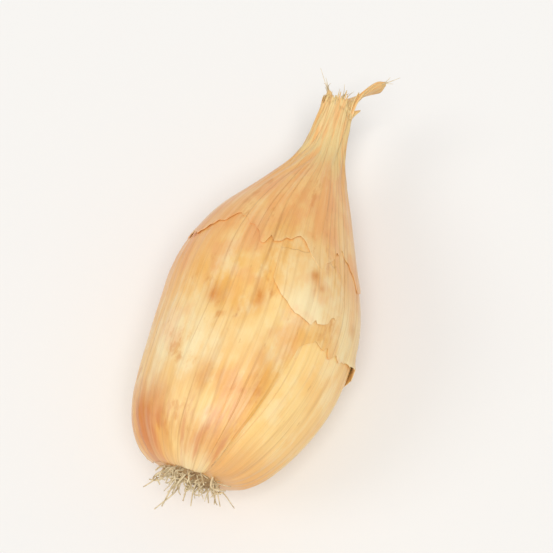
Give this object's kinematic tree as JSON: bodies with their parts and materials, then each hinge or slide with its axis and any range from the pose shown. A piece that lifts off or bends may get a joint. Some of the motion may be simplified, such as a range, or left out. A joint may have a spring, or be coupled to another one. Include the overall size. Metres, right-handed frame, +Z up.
{
  "type": "onion set",
  "caption": "Small onion bulb grown for planting, lying on its side: papery tan skin, a dry twisted neck and short dried roots.",
  "frame": {"origin": "under the middle of the whole bulb, neck and roots, at the level that it rests on", "axes": "+Y along the bulb from its root end to its neck, +Z up as it lies, +X across it"},
  "size_m": [0.0254, 0.061, 0.023],
  "materials": {
    "dry_skin": "satin",
    "dried_roots": "matte"
  },
  "bodies": {
    "root": {"onion_bulb": "dry_skin"}
  },
  "joints": []
}
